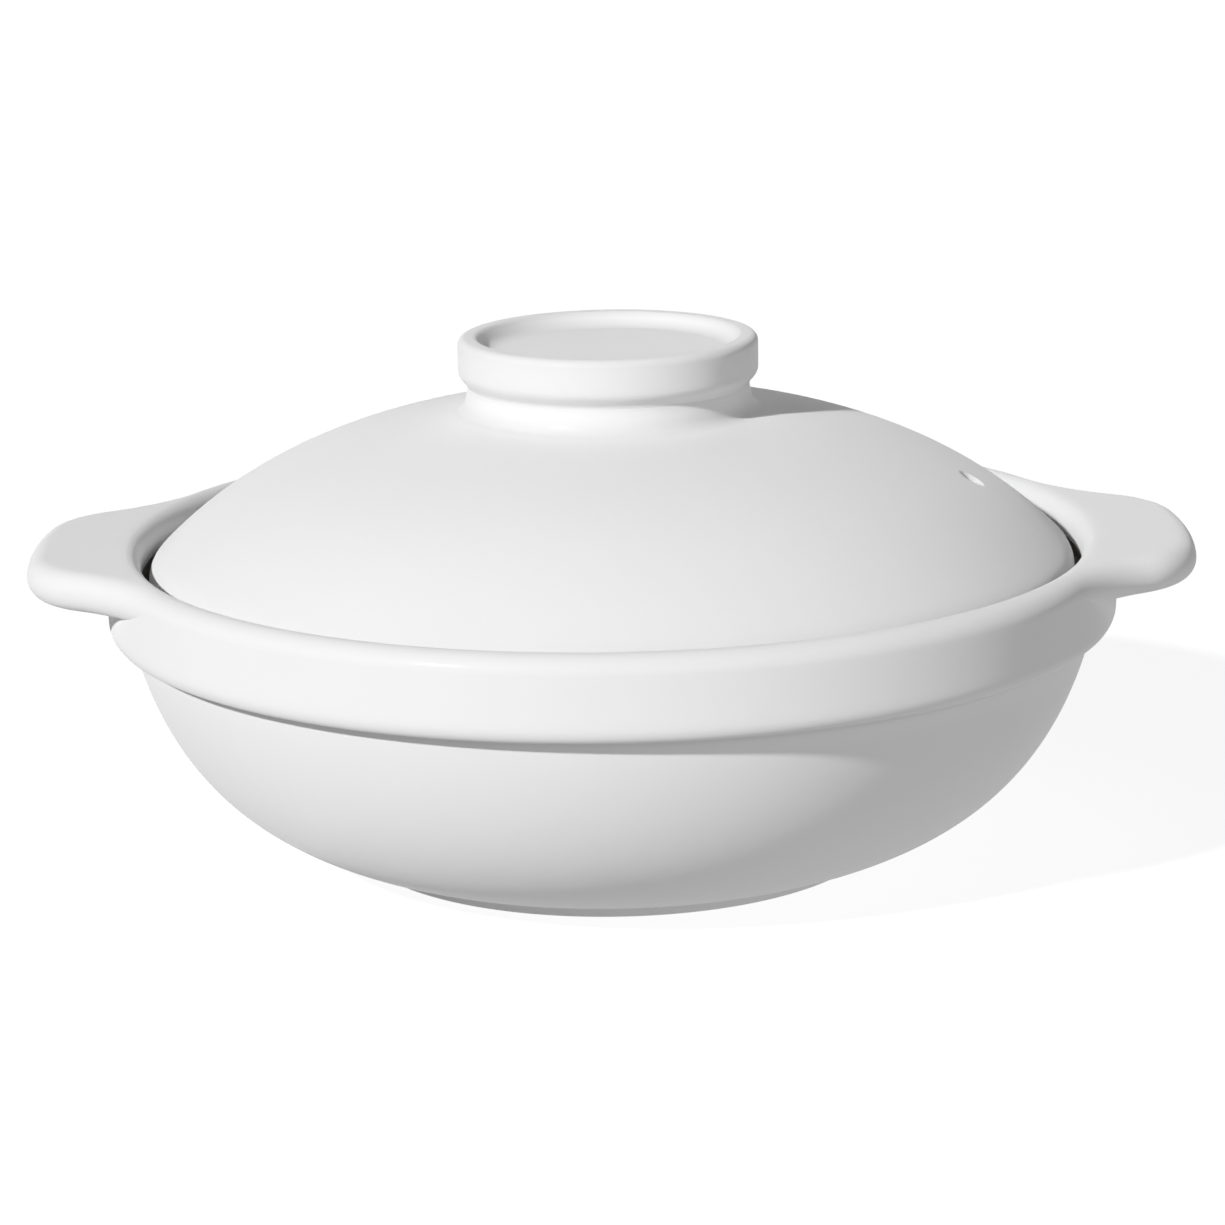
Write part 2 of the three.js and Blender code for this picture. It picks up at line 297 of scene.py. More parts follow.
class StageLook(bpy.types.PropertyGroup):
    """Light and floor"""

    key: amount("Key", "Strength of the key lamp", 3.15)
    key_azimuth: angle("Key azimuth", "Direction the key comes from, about the upright axis", 228)
    key_height: angle("Key height", "Height of the key above the horizon", 32)
    key_size: angle("Key size", "Angle that the key takes up in the sky", 3)
    front: amount("Front", "Strength of the low soft lamp in front of the pot", 1.0)
    front_azimuth: angle("Front azimuth", "Direction the low soft lamp comes from", 307)
    front_height: angle("Front height", "Height of the low soft lamp", 12)
    back: amount("Back", "Strength of the soft lamp behind the pot", 0.38)
    back_azimuth: angle("Back azimuth", "Direction the soft lamp behind the pot comes from", 85)
    back_height: angle("Back height", "Height of the soft lamp behind the pot", 6)
    soft_size: angle("Soft size", "Angle that each soft lamp takes up in the sky", 60)
    floor_size: length("Floor size", "Side of the square floor", 6.0)
    floor: colour("Floor", "Colour of the floor as the pot sees it", (0.15, 0.15, 0.15))
    table: amount("Table", "Light that the floor gives off, as a shooting table lit from below does", 0.33)
    floor_shadow: colour("Floor shadow", "How much the floor darkens in the pot's shadow", (0.2, 0.2, 0.2))
    floor_glow: amount("Floor glow", "Light that brings the floor up to white for the camera", 0.9)


# Profiles: (radius, height) points, run so that the solid lies on the left


def line(*points):
    """Straight runs from point to point."""
    return np.array(points, float)


def arc(centre, radii, start, end):
    """An elliptical arc: centre + radii * (cos a, sin a), with a from start to end in degrees."""
    turn = np.radians(np.linspace(start, end, CURVE_POINTS))
    return np.asarray(centre) + np.stack([radii[0] * np.cos(turn), radii[1] * np.sin(turn)], axis=-1)


def bezier(*corners):
    """A cubic curve: the sum of the four corners, each times its Bernstein weight in t."""
    t = np.linspace(0.0, 1.0, CURVE_POINTS)[:, None]
    first, second, third, fourth = (np.asarray(corner) for corner in corners)
    outer = (1 - t) ** 3 * first + t ** 3 * fourth
    inner = 3 * (1 - t) ** 2 * t * second + 3 * (1 - t) * t ** 2 * third
    return outer + inner


def parabola(first, corner, last):
    """A quadratic curve: the sum of the three points, each times its Bernstein weight in t."""
    t = np.linspace(0.0, 1.0, CORNER_POINTS)[:, None]
    ends = (1 - t) ** 2 * np.asarray(first) + t ** 2 * np.asarray(last)
    return ends + 2 * (1 - t) * t * np.asarray(corner)


def distances(profile):
    """How far along a profile each of its points lies."""
    steps = np.linalg.norm(np.diff(profile, axis=0), axis=1)
    return np.concatenate([[0.0], np.cumsum(steps)])


def places(profile, where):
    """The points of a profile at given distances along it."""
    far = distances(profile)
    return np.stack([np.interp(where, far, profile[:, axis]) for axis in range(2)], axis=-1)


def joined(parts, reaches):
    """Profiles end to end. Each corner between two of them becomes a parabola that leaves both at the given
    reach from the corner and has the corner as its middle control point."""
    whole = parts[0]
    for part, reach in zip(parts[1:], reaches):
        if reach == 0:
            whole = np.vstack([whole, part])
            continue
        corner = part[0]
        before = distances(whole)
        after = distances(part)
        head = np.vstack([whole[before < before[-1] - reach], places(whole, [before[-1] - reach])])
        tail = np.vstack([places(part, [reach]), part[after > reach]])
        whole = np.vstack([head, parabola(head[-1], corner, tail[0]), tail])
    return whole


def evened(profile):
    """The profile with its points spread anew and the bend at each of them. The points lie closest where the
    profile bends: their number per length is a base number plus the bend per length, blurred along it."""
    far = distances(profile)
    keep = np.concatenate([[True], np.diff(far) > SAME_PLACE])
    profile = profile[keep]
    count = int(far[-1] / FINE_STEP) + 1
    where = np.linspace(0.0, far[-1], count)
    fine = places(profile, where)
    step = where[1]
    slope = np.unwrap(np.arctan2(np.gradient(fine[:, 1]), np.gradient(fine[:, 0])))
    bend = np.gradient(slope, step)
    reach = np.arange(-BLUR_REACH * BEND_SPREAD, BLUR_REACH * BEND_SPREAD, step)
    blur = np.exp(-0.5 * (reach / BEND_SPREAD) ** 2)
    blur /= blur.sum()
    smooth_bend = np.convolve(bend, blur, mode="same")
    density = 1 / WIDEST_STEP + np.convolve(np.abs(bend), blur, mode="same") / MOST_BEND
    total = np.concatenate([[0.0], np.cumsum((density[1:] + density[:-1]) / 2 * step)])
    spread = np.interp(np.linspace(0.0, total[-1], int(total[-1]) + 2), total, where)
    return places(fine, spread), np.interp(spread, where, smooth_bend)


# Meshes


def grid_faces(index):
    """Quads between the neighbours in a grid of vertex numbers."""
    return np.stack([index[:-1, :-1], index[:-1, 1:], index[1:, 1:], index[1:, :-1]], axis=-1).reshape(-1, 4)


def closed_columns(index):
    """A grid of vertex numbers with its first column again at the end."""
    return np.hstack([index, index[:, :1]])


def closed_rows(index):
    """A grid of vertex numbers with its first row again at the end."""
    return np.vstack([index, index[:1]])


def turned_points(profile):
    """A profile carried round the upright axis: (r cos a, r sin a, z) for each point and each turn."""
    turn = np.linspace(0.0, 2 * np.pi, TURNS, endpoint=False)
    radius = profile[:, :1]
    height = np.broadcast_to(profile[:, 1:], (len(profile), TURNS))
    return np.stack([radius * np.cos(turn), radius * np.sin(turn), height], axis=-1)


def turned_body(profile, bend):
    """Vertices, faces, and thin glaze and painted shade, of a profile that starts and ends on the axis, where
    its ends are poles.
    """
    points = turned_points(profile[1:-1]).reshape(-1, 3)
    index = closed_columns(np.arange(len(points)).reshape(-1, TURNS))
    poles = np.array([[0.0, 0.0, profile[0, 1]], [0.0, 0.0, profile[-1, 1]]])
    low = np.full(TURNS, len(points))
    high = np.full(TURNS, len(points) + 1)
    first = np.stack([low, index[0, 1:], index[0, :-1]], axis=-1)
    last = np.stack([high, index[-1, :-1], index[-1, 1:]], axis=-1)
    faces = grid_faces(index).tolist() + first.tolist() + last.tolist()
    thin = np.append(np.repeat(edge_thin_and_hollow_shade(bend[1:-1]), TURNS), [0.0, 0.0])
    return np.vstack([points, poles]), faces, thin


def turned_ring(profile, bend):
    """Vertices, faces, and thin glaze and painted shade, of a closed profile that stays off the axis."""
    points = turned_points(profile).reshape(-1, 3)
    faces = grid_faces(closed_rows(closed_columns(np.arange(len(points)).reshape(-1, TURNS))))
    return points, faces.tolist(), np.repeat(edge_thin_and_hollow_shade(bend), TURNS)


def make_piece(name, vertices, faces, thin):
    """A smooth mesh object at the origin. Its thin_glaze_and_hollow_shade attribute says where its glaze is
    thin (above zero) on a rounded edge, and how much painted shade (below zero) a hollow gets."""
    mesh = bpy.data.meshes.new(name)
    mesh.from_pydata(vertices.tolist(), [], faces)
    mesh.shade_smooth()
    attribute = mesh.attributes.new("thin_glaze_and_hollow_shade", "FLOAT", "POINT")
    attribute.data.foreach_set("value", np.asarray(thin, np.float32))
    piece = bpy.data.objects.new(name, mesh)
    bpy.context.scene.collection.objects.link(piece)
    return piece


def place_piece(piece, node, body, material):
    """Puts a piece in its CAD node's place, on its body and with its finish."""
    piece.data.materials.append(material)
    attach(piece, body)
    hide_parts(node)


def edge_thin_and_hollow_shade(bend):
    """How thin the glaze lies on an outward bend, and how much painted shade an inward bend gets: the bend
    times the radius of a full one, kept within one either way.
    """
    return np.clip(bend * FULL_BEND_RADIUS, -1.0, 1.0)


# The bowl and its foot


def bowl_outside(sizes):
    """The outside of the bowl from the foot's edge to the shoulder under the band: a cubic curve that follows
    a quarter of an ellipse, leaned by the rise at the foot and the draft at the shoulder."""
    bowl_low, bowl_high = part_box("pot_bowl")
    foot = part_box("foot_ring")[1].x
    shoulder = bowl_high.x - sizes.band_overhang
    band_bottom = bowl_high.z - sizes.band_height
    base_pull = ELLIPSE_PULL * (shoulder - foot)
    shoulder_pull = ELLIPSE_PULL * (band_bottom - bowl_low.z)
    return bezier(
        (foot, bowl_low.z),
        (foot + base_pull, bowl_low.z + base_pull * math.tan(sizes.base_rise)),
        (shoulder - shoulder_pull * math.tan(sizes.shoulder_draft), band_bottom - shoulder_pull),
        (shoulder, band_bottom),
    )


def inset(profile, depth):
    """A profile moved to its left by a depth, square to its own direction."""
    direction = np.gradient(profile, axis=0)
    direction /= np.linalg.norm(direction, axis=1)[:, None]
    return profile + depth * np.stack([-direction[:, 1], direction[:, 0]], axis=-1)


def crest_radius(sizes):
    """The radius at which the rim's two rounds are equally high. A circle of radius a drops by about
    d * d / 2a at distance d from its top, so the way between the two tops is shared out as the roots of
    the two radii."""
    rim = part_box("pot_bowl")[1].x
    outer = rim - sizes.edge_round
    inner = rim - sizes.rim_width + sizes.rim_inner_round
    outer_root = math.sqrt(sizes.edge_round)
    inner_root = math.sqrt(sizes.rim_inner_round)
    return outer + (inner - outer) * outer_root / (outer_root + inner_root)


def bowl_profile(sizes):
    """The bowl's section from the middle of its underside, up the outside, over the rim and the lid's ledge,
    and down the inside to the middle of the floor."""
    low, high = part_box("pot_bowl")
    rim = high.x
    top = high.z
    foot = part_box("foot_ring")[1].x
    band_bottom = top - sizes.band_height
    rim_wall = rim - sizes.rim_width
    ledge = top - sizes.ledge_depth
    ledge_inner = rim_wall - sizes.ledge_width
    outside = bowl_outside(sizes)
    inside = inset(outside, sizes.wall)[::-1]
    inside = inside[inside[:, 0] < ledge_inner]
    floor = inside[-1, 1]
    low_round = sizes.band_lower_round
    low_rise = sizes.band_lower_rise
    outer_round = sizes.edge_round
    inner_round = sizes.rim_inner_round
    crest = crest_radius(sizes)
    outer_end = math.degrees(math.acos((crest - rim + outer_round) / outer_round))
    inner_start = math.degrees(math.acos((crest - rim_wall - inner_round) / inner_round))
    parts = [
        line((0.0, low.z), (foot, low.z)),
        outside,
        line((rim - sizes.band_overhang, band_bottom), (rim - low_round, band_bottom)),
        arc((rim - low_round, band_bottom + low_rise), (low_round, low_rise), -90, 0),
        arc((rim - outer_round, top - outer_round), (outer_round, outer_round), 0, outer_end),
        arc((rim_wall + inner_round, top - inner_round), (inner_round, inner_round), inner_start, 180),
        line((rim_wall, top - inner_round), (rim_wall, ledge)),
        line((rim_wall, ledge), (ledge_inner, ledge)),
        line((ledge_inner, ledge), inside[0]),
        inside,
        line(inside[-1], (0.0, floor)),
    ]
    outer_reaches = [0.0, sizes.band_corner, 0.0, 0.0, sizes.crest_reach]
    inner_reaches = [0.0, sizes.ledge_corner, sizes.ledge_corner, 0.0, sizes.floor_blend]
    return evened(joined(parts, outer_reaches + inner_reaches))


class POT_OT_bowl(bpy.types.Operator):
    """Builds the bowl with its rim band and the ledge for the lid"""

    bl_idname = "pot.bowl"
    bl_label = "Bowl"

    def execute(self, context):
        piece = make_piece("glazed_bowl", *turned_body(*bowl_profile(context.scene.pot_sizes)))
        place_piece(piece, "pot_bowl", "pot", glaze_material())
        return {"FINISHED"}


def foot_profile(sizes):
    """The foot ring's closed section: from the middle of its hidden top down the inside, along the bottom and
    up the outside. Both upper corners run out along the bowl in a soft hollow."""
    low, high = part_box("foot_ring")
    outer = high.x
    inner = outer - sizes.foot_width
    middle = outer - sizes.foot_width / 2
    edge = sizes.foot_round
    corner = sizes.foot_corner
    hidden = high.z + sizes.foot_skin
    side = high.z - corner
    bowl_edge = high.z + corner * math.tan(sizes.base_rise)
    parts = [
        line((middle, hidden), (inner - corner, hidden), (inner - corner, high.z)),
        parabola((inner - corner, high.z), (inner, high.z), (inner, side)),
        arc((inner + edge, low.z + edge), (edge, edge), 180, 270),
        arc((outer - edge, low.z + edge), (edge, edge), 270, 360),
        parabola((outer, side), (outer, high.z), (outer + corner, bowl_edge)),
        line((outer + corner, bowl_edge), (outer + corner, bowl_edge + sizes.foot_skin), (middle, hidden)),
    ]
    profile, bend = evened(np.vstack(parts))
    return profile[:-1], bend[:-1]


class POT_OT_foot(bpy.types.Operator):
    """Builds the foot ring under the bowl"""

    bl_idname = "pot.foot"
    bl_label = "Foot ring"

    def execute(self, context):
        piece = make_piece("bare_foot_ring", *turned_ring(*foot_profile(context.scene.pot_sizes)))
        place_piece(piece, "foot_ring", "pot", foot_material())
        return {"FINISHED"}


# The handles


def tab_outline(sizes):
    """The outline of the right tab from above and its outward normals: an arc about the pot's axis at the
    tip, two round corners and two hollow fillets that touch the rim, each arc tangent to the next."""
    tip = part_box("right_handle")[1].x
    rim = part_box("pot_bowl")[1].x
    corner_radius = sizes.corner_radius
    fillet_radius = sizes.fillet_radius
    corner_far = tip - corner_radius
    corner_y = sizes.width / 2 - corner_radius
    corner_turn = math.asin(corner_y / corner_far)
    corner_x = corner_far * math.cos(corner_turn)
    fillet_far = rim - sizes.sink + fillet_radius
    span = corner_radius + fillet_radius
    between = math.acos((corner_far ** 2 + fillet_far ** 2 - span ** 2) / (2 * corner_far * fillet_far))
    fillet_turn = corner_turn + between
    fillet_x = fillet_far * math.cos(fillet_turn)
    fillet_y = fillet_far * math.sin(fillet_turn)
    touch = math.atan2(fillet_y - corner_y, fillet_x - corner_x)
    arcs = [
        (fillet_x, -fillet_y, fillet_radius, -fillet_turn, -touch, -1),
        (corner_x, -corner_y, corner_radius, -touch, -corner_turn, 1),
        (0.0, 0.0, tip, -corner_turn, corner_turn, 1),
        (corner_x, corner_y, corner_radius, corner_turn, touch, 1),
        (fillet_x, fillet_y, fillet_radius, touch, fillet_turn, -1),
    ]
    points = []
    normals = []
    for number, (x, y, radius, start, end, side) in enumerate(arcs, 1):
        is_last = number == len(arcs)
        turn = np.linspace(start, end, TAB_STEPS + is_last, endpoint=is_last)
        outward = np.stack([np.cos(turn), np.sin(turn)], axis=-1)
        points.append(np.array([x, y]) + side * radius * outward)
        normals.append(outward)
    return np.vstack(points), np.vstack(normals)


def tab_sections(sizes, pot, points, normals):
    """The tab's section at each outline point, in the upright plane along the normal: place t, which is
    negative inside the outline, and height z. The top starts on the rim's inner round and runs level to a
    half-round edge, and the underside runs back to the band, where a small hollow fades out as the tab gets
    shallow. The last run lies hidden in the rim. A place t reaches radius r where |point + t normal| = r."""
    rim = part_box("pot_bowl")[1].x
    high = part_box("pot_bowl")[1].z
    low = high - sizes.thickness
    edge = pot.edge_round
    inner_round = pot.rim_inner_round
    along = np.sum(points * normals, axis=1)[:, None]
    square = np.sum(points ** 2, axis=1)[:, None]

    def place(radius):
        return np.sqrt(along ** 2 - square + radius ** 2) - along

    ease = (1 - np.cos(np.linspace(0.0, np.pi, TAB_FLAT_STEPS + 1))) / 2
    turn = np.linspace(0.0, np.pi / 2, TAB_ROUND_STEPS + 1)
    full = np.ones_like(along)
    tiny = sizes.skin / TINY_PARTS

    # The top and the upper half of the edge
    crest = place(crest_radius(pot) - pot.crest_reach)
    top_t = crest + (-edge - crest) * ease
    inwards = rim - pot.rim_width + inner_round - np.sqrt(square + 2 * along * top_t + top_t ** 2)
    top_z = high - inner_round + np.sqrt(inner_round ** 2 - np.clip(inwards, 0.0, None) ** 2)
    upper_t = -edge + edge * np.sin(turn) * full
    upper_z = (high - edge + edge * np.cos(turn)) * full

    # The lower half of the edge, as far as the rim leaves room for it
    cut = place(rim - sizes.skin / CUT_PARTS)
    lower_end = np.arccos(np.clip((cut + edge) / edge, 0.0, 1.0))
    lower_turn = lower_end * np.linspace(0.0, 1.0, TAB_ROUND_STEPS + 1)
    lower_t = -edge + edge * np.cos(lower_turn)
    lower_z = low + edge - edge * np.sin(lower_turn)

    # The underside and its hollow against the band
    flat_start = lower_t[:, -1:]
    flat_z = lower_z[:, -1:]
    room = np.clip((flat_start - cut) / (HOLLOW_ROOM * sizes.under_fillet), 0.0, 1.0)
    fillet = tiny + sizes.under_fillet * room * room * (3 - 2 * room)
    flat_end = np.minimum(place(rim + fillet), flat_start - tiny)
    under_t = flat_start + (flat_end - flat_start) * ease
    under_z = flat_z * np.ones_like(ease)
    wall = np.minimum(cut, flat_end - tiny)
    hollow_t = flat_end + (wall - flat_end) * np.sin(turn)
    hollow_z = flat_z - fillet * (1 - np.cos(turn))

    # The hidden face inside the rim
    hidden_round = edge - sizes.skin
    hidden_radii = rim - edge + hidden_round * np.cos(turn)
    hidden_t = np.hstack([place(rim - sizes.skin), place(hidden_radii)])
    hidden_z = np.hstack([hollow_z[:, -1:], (high - edge + hidden_round * np.sin(turn)) * full])

    runs_t = [top_t, upper_t[:, 1:], lower_t, under_t[:, 1:], hollow_t[:, 1:], hidden_t]
    runs_z = [top_z, upper_z[:, 1:], lower_z, under_z[:, 1:], hollow_z[:, 1:], hidden_z]
    round_share = np.concatenate([np.sin(turn[1:]), np.cos(turn)])
    thin = np.zeros(sum(run.shape[1] for run in runs_t))
    thin[top_t.shape[1]: top_t.shape[1] + len(round_share)] = round_share * TAB_EDGE_THIN
    return np.hstack(runs_t), np.hstack(runs_z), thin


def tab_handle(sizes, pot, side):
    """Vertices, faces and glaze of one tab: each section stood up on its outline point, with flat ends hidden
    in the rim. A side of 1 is the right tab, and -1 turns it half round the axis."""
    points, normals = tab_outline(sizes)
    across, heights, thin = tab_sections(sizes, pot, points, normals)
    plan = side * (points[:, None] + across[:, :, None] * normals[:, None])
    vertices = np.concatenate([plan, heights[:, :, None]], axis=-1).reshape(-1, 3)
    index = np.arange(len(vertices)).reshape(heights.shape)
    faces = grid_faces(closed_columns(index)).tolist()
    ends = [index[0, ::-1].tolist(), index[-1].tolist()]
    return vertices, faces + ends, np.tile(thin, len(points))


class POT_OT_handles(bpy.types.Operator):
    """Builds the two tab handles"""

    bl_idname = "pot.handles"
    bl_label = "Handles"

    def execute(self, context):
        sizes = context.scene.handle_sizes
        pot = context.scene.pot_sizes
        for name, node, side in (("right_tab", "right_handle", 1), ("left_tab", "left_handle", -1)):
            piece = make_piece(name, *tab_handle(sizes, pot, side))
            piece.data.set_sharp_from_angle(angle=SHARP_ANGLE)
            place_piece(piece, node, "pot", glaze_material())
        return {"FINISHED"}


# The lid


def dome_curve(sizes):
    """The top of the dome from its rounded edge to the middle of its crown: a cubic curve that starts at the
    edge's slope and ends level."""
    low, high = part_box("lid_dome")
    start_x = high.x - sizes.edge_round * (1 - math.sin(sizes.edge_slope))
    start_z = low.z + sizes.edge_height + sizes.edge_round * math.cos(sizes.edge_slope)
    crown = high.z - sizes.neck_rise
    pull = sizes.edge_pull * start_x
    return bezier(
        (start_x, start_z),
        (start_x - pull * math.cos(sizes.edge_slope), start_z + pull * math.sin(sizes.edge_slope)),
        (sizes.crown_pull * start_x, crown),
        (0.0, crown),
    )


def outside_of(profile, radius):
    """The part of an inward-running profile outside a radius, ended exactly there."""
    height = np.interp(radius, profile[::-1, 0], profile[::-1, 1])
    return np.vstack([profile[profile[:, 0] > radius], (radius, height)])


def lid_profile(sizes, overhang):
    """The lid's closed section: from the middle of its seat round its edge, over the dome, up the neck, down
    the hollow under the knob and along the underside."""
    low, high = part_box("lid_dome")
    edge_top = low.z + sizes.edge_height
    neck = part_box("lid_knob")[1].x - overhang
    hollow = neck - sizes.neck_wall
    middle = high.x - sizes.wall / 2
    top = outside_of(dome_curve(sizes), neck + sizes.neck_flare)
    under = outside_of(inset(dome_curve(sizes), sizes.wall), hollow)[::-1]
    seat_inner = (high.x - sizes.wall, low.z)
    edge_centre = (high.x - sizes.edge_round, edge_top)
    edge_turn = 90 - math.degrees(sizes.edge_slope)
    parts = [
        line((middle, low.z), (high.x, low.z)),
        line((high.x, low.z), (high.x, edge_top)),
        arc(edge_centre, (sizes.edge_round, sizes.edge_round), 0, edge_turn),
        top,
        line(top[-1], (neck, high.z - sizes.neck_waist)),
        line((neck, high.z - sizes.neck_waist), (neck, high.z)),
        line((neck, high.z), (hollow, high.z)),
        line((hollow, high.z), under[0]),
        under,
        line(under[-1], seat_inner),
        line(seat_inner, (middle, low.z)),
    ]
    waist_soft = WAIST_SOFT * sizes.neck_waist
    hollow_soft = HOLLOW_SOFT * sizes.edge_tuck
    seat_soft = SEAT_SOFT * sizes.edge_tuck
    top_reaches = [sizes.edge_tuck, 0.0, 0.0, sizes.neck_fillet, waist_soft]
    under_reaches = [0.0, 0.0, hollow_soft, 0.0, seat_soft]
    profile, bend = evened(joined(parts, top_reaches + under_reaches))
    return profile[:-1], bend[:-1]


def square_loop(first_row, last_row, first_column, last_column):
    """Rows and columns of the grid points round a square, along the first row and on round."""
    rows = np.linspace(first_row, last_row, VENT_CELLS + 1).astype(int)
    columns = np.linspace(first_column, last_column, VENT_CELLS + 1).astype(int)
    side = np.ones(VENT_CELLS, int)
    loop_rows = [first_row * side, rows[:-1], last_row * side, rows[:0:-1]]
    loop_columns = [columns[:-1], last_column * side, columns[:0:-1], first_column * side]
    return np.concatenate(loop_rows), np.concatenate(loop_columns) % TURNS


def vent_rings(sizes, loop, place, surface, side):
    """Rings of points from a square loop, from its corner on round, on a face of the lid in to the vent's
    wall. In plan they slide from the loop to a circle, on the face; then they turn down a rounded lip."""
    radius = sizes.vent_diameter / 2
    lip = sizes.vent_lip
    turn = np.linspace(0.0, 2 * np.pi, len(loop), endpoint=False) - np.pi / 4 + sizes.vent_angle
    circle = np.stack([np.cos(turn), np.sin(turn)], axis=-1)
    slide = np.linspace(0.0, 1.0, VENT_CELLS // 2 + 1)[1:, None, None]
    flat = (1 - slide) * loop + slide * (place + (radius + lip) * circle)
    roll = np.linspace(0.0, np.pi / 2, VENT_LIP_STEPS + 1)[1:, None]
    lip_plan = place + (radius + lip * (1 - np.sin(roll)))[:, :, None] * circle
    plan = np.concatenate([flat, lip_plan])
    sunk = np.concatenate([np.zeros(len(flat)), lip * (1 - np.cos(roll[:, 0]))])
    far = np.linalg.norm(plan, axis=-1)
    height = np.interp(far, surface[::-1, 0], surface[::-1, 1]) - side * sunk[:, None]
    return np.concatenate([plan, height[:, :, None]], axis=-1)


def vented_lid(sizes, overhang):
    """Vertices, faces, and thin glaze and painted shade, of the lid: its section turned about the axis, with
    a square of the grid opened on the dome and one on the underside, and rings of faces between them down the
    vent."""
    profile, bend = lid_profile(sizes, overhang)
    grid = turned_points(profile)
    points = grid.reshape(-1, 3)
    index = np.arange(len(points)).reshape(-1, TURNS)
    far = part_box("lid_dome")[1].x - sizes.vent_inset
    place = far * np.array([math.cos(sizes.vent_angle), math.sin(sizes.vent_angle)])
    column = round(sizes.vent_angle / (2 * np.pi) * TURNS)
    crest = int(np.argmax(profile[:, 1]))
    outer_row = int(np.argmin(np.abs(profile[:crest, 0] - far)))
    inner_row = crest + int(np.argmin(np.abs(profile[crest:, 0] - far)))
    half = VENT_CELLS // 2
    columns = (column - half, column + half)
    outer_loop = square_loop(outer_row - half, outer_row + half, *columns)
    inner_loop = square_loop(inner_row + half, inner_row - half, *columns)
    dome = dome_curve(sizes)
    outer = vent_rings(sizes, grid[outer_loop][:, :2], place, dome, 1)
    inner = vent_rings(sizes, grid[inner_loop][:, :2], place, inset(dome, sizes.wall), -1)
    deep = np.linspace(0.0, 1.0, VENT_CELLS)[1:-1, None, None]
    tube = (1 - deep) * outer[-1] + deep * inner[-1]
    rings = np.concatenate([outer, tube, inner[::-1]])
    ring_index = len(points) + np.arange(rings.shape[0] * rings.shape[1]).reshape(rings.shape[:2])
    patch = np.vstack([index[outer_loop], ring_index, index[inner_loop]])

    open_cells = np.zeros(index.shape, bool)
    window = np.arange(columns[0], columns[1]) % TURNS
    for row in (outer_row, inner_row):
        open_cells[np.arange(row - half, row + half)[:, None], window] = True
    walls = grid_faces(closed_rows(closed_columns(index)))[~open_cells.reshape(-1)]
    faces = walls.tolist() + grid_faces(closed_columns(patch)).tolist()
    thin = np.append(np.repeat(edge_thin_and_hollow_shade(bend), TURNS), np.zeros(ring_index.size))
    return np.vstack([points, rings.reshape(-1, 3)]), faces, thin


class POT_OT_lid(bpy.types.Operator):
    """Builds the domed lid with its neck and steam vent"""

    bl_idname = "pot.lid"
    bl_label = "Lid"

    def execute(self, context):
        scene = context.scene
        piece = make_piece("domed_lid", *vented_lid(scene.lid_sizes, scene.knob_sizes.overhang))
        place_piece(piece, "lid_dome", "lid", glaze_material())
        return {"FINISHED"}


def knob_profile(sizes, neck_wall):
    """The knob's section from the middle of its hollow underside, round the ring and over its lip, and down
    the slope to the middle of the dish."""
    low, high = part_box("lid_knob")
    ring = high.x
    neck = ring - sizes.overhang
    hollow = neck - neck_wall
    dish = high.z - sizes.dish_depth
    pocket = dish - sizes.dish_floor
    lip = ring - sizes.lip
    steepest = lip - DISH_STEEPEST * sizes.dish_slope
    dish_edge = lip - sizes.dish_slope
    upper = sizes.upper_round
    parts = [
        line((0.0, pocket), (hollow, pocket)),
        line((hollow, pocket), (hollow, low.z)),
        line((hollow, low.z), (neck, low.z)),
        bezier(
            (neck, low.z),
            (neck, low.z + RING_WAIST_PULL * sizes.lower_round),
            (ring, low.z + (1 - RING_WALL_PULL) * sizes.lower_round),
            (ring, low.z + sizes.lower_round),
        ),
        arc((ring - upper, high.z - upper), (upper, upper), 0, 90),
        bezier((lip, high.z), (steepest, high.z), (steepest, dish), (dish_edge, dish)),
        line((dish_edge, dish), (0.0, dish)),
    ]
    return evened(joined(parts, [sizes.hollow_corner, 0.0, 0.0, 0.0, 0.0, 0.0]))


class POT_OT_knob(bpy.types.Operator):
    """Builds the ring knob on the lid's neck"""

    bl_idname = "pot.knob"
    bl_label = "Knob"

    def execute(self, context):
        scene = context.scene
        profile = knob_profile(scene.knob_sizes, scene.lid_sizes.neck_wall)
        piece = make_piece("ring_knob", *turned_body(*profile))
        place_piece(piece, "lid_knob", "lid", glaze_material())
        return {"FINISHED"}


# Materials


class Wire:
    """A node's output that takes part in Python expressions. Each operator adds one Math node."""

    def __init__(self, tree, socket=None):
        self.tree = tree
        self.socket = socket

    def node(self, kind, settings, sockets, output=0):
        """Adds a node: its settings first, then the values or wires of its sockets. Returns one output."""
        made = self.tree.nodes.new(kind)
        for name, value in settings.items():
            setattr(made, name, value)
        for name, value in sockets.items():
            if isinstance(value, Wire):
                self.tree.links.new(value.socket, made.inputs[name])
            else:
                made.inputs[name].default_value = value
        return Wire(self.tree, made.outputs[output])

    def math(self, operation, *values):
        return self.node("ShaderNodeMath", {"operation": operation}, dict(enumerate(values)))

    def __add__(self, other):
        return self.math("ADD", self, other)

    __radd__ = __add__

    def __sub__(self, other):
        return self.math("SUBTRACT", self, other)

    def __rsub__(self, other):
        return self.math("SUBTRACT", other, self)

    def __mul__(self, other):
        return self.math("MULTIPLY", self, other)

    __rmul__ = __mul__

    def clamped(self):
        return self.math("MINIMUM", self.math("MAXIMUM", self, 0.0), 1.0)

    def mixed(self, first, second):
        """A colour between two colours, by this wire as the share of the second."""
        sockets = {"Factor": self, MIX_FIRST: first, MIX_SECOND: second}
        return self.node("ShaderNodeMix", {"data_type": "RGBA"}, sockets, MIX_RESULT)


def opaque(rgb):
    """A linear colour with its alpha."""
    return (*rgb, 1.0)


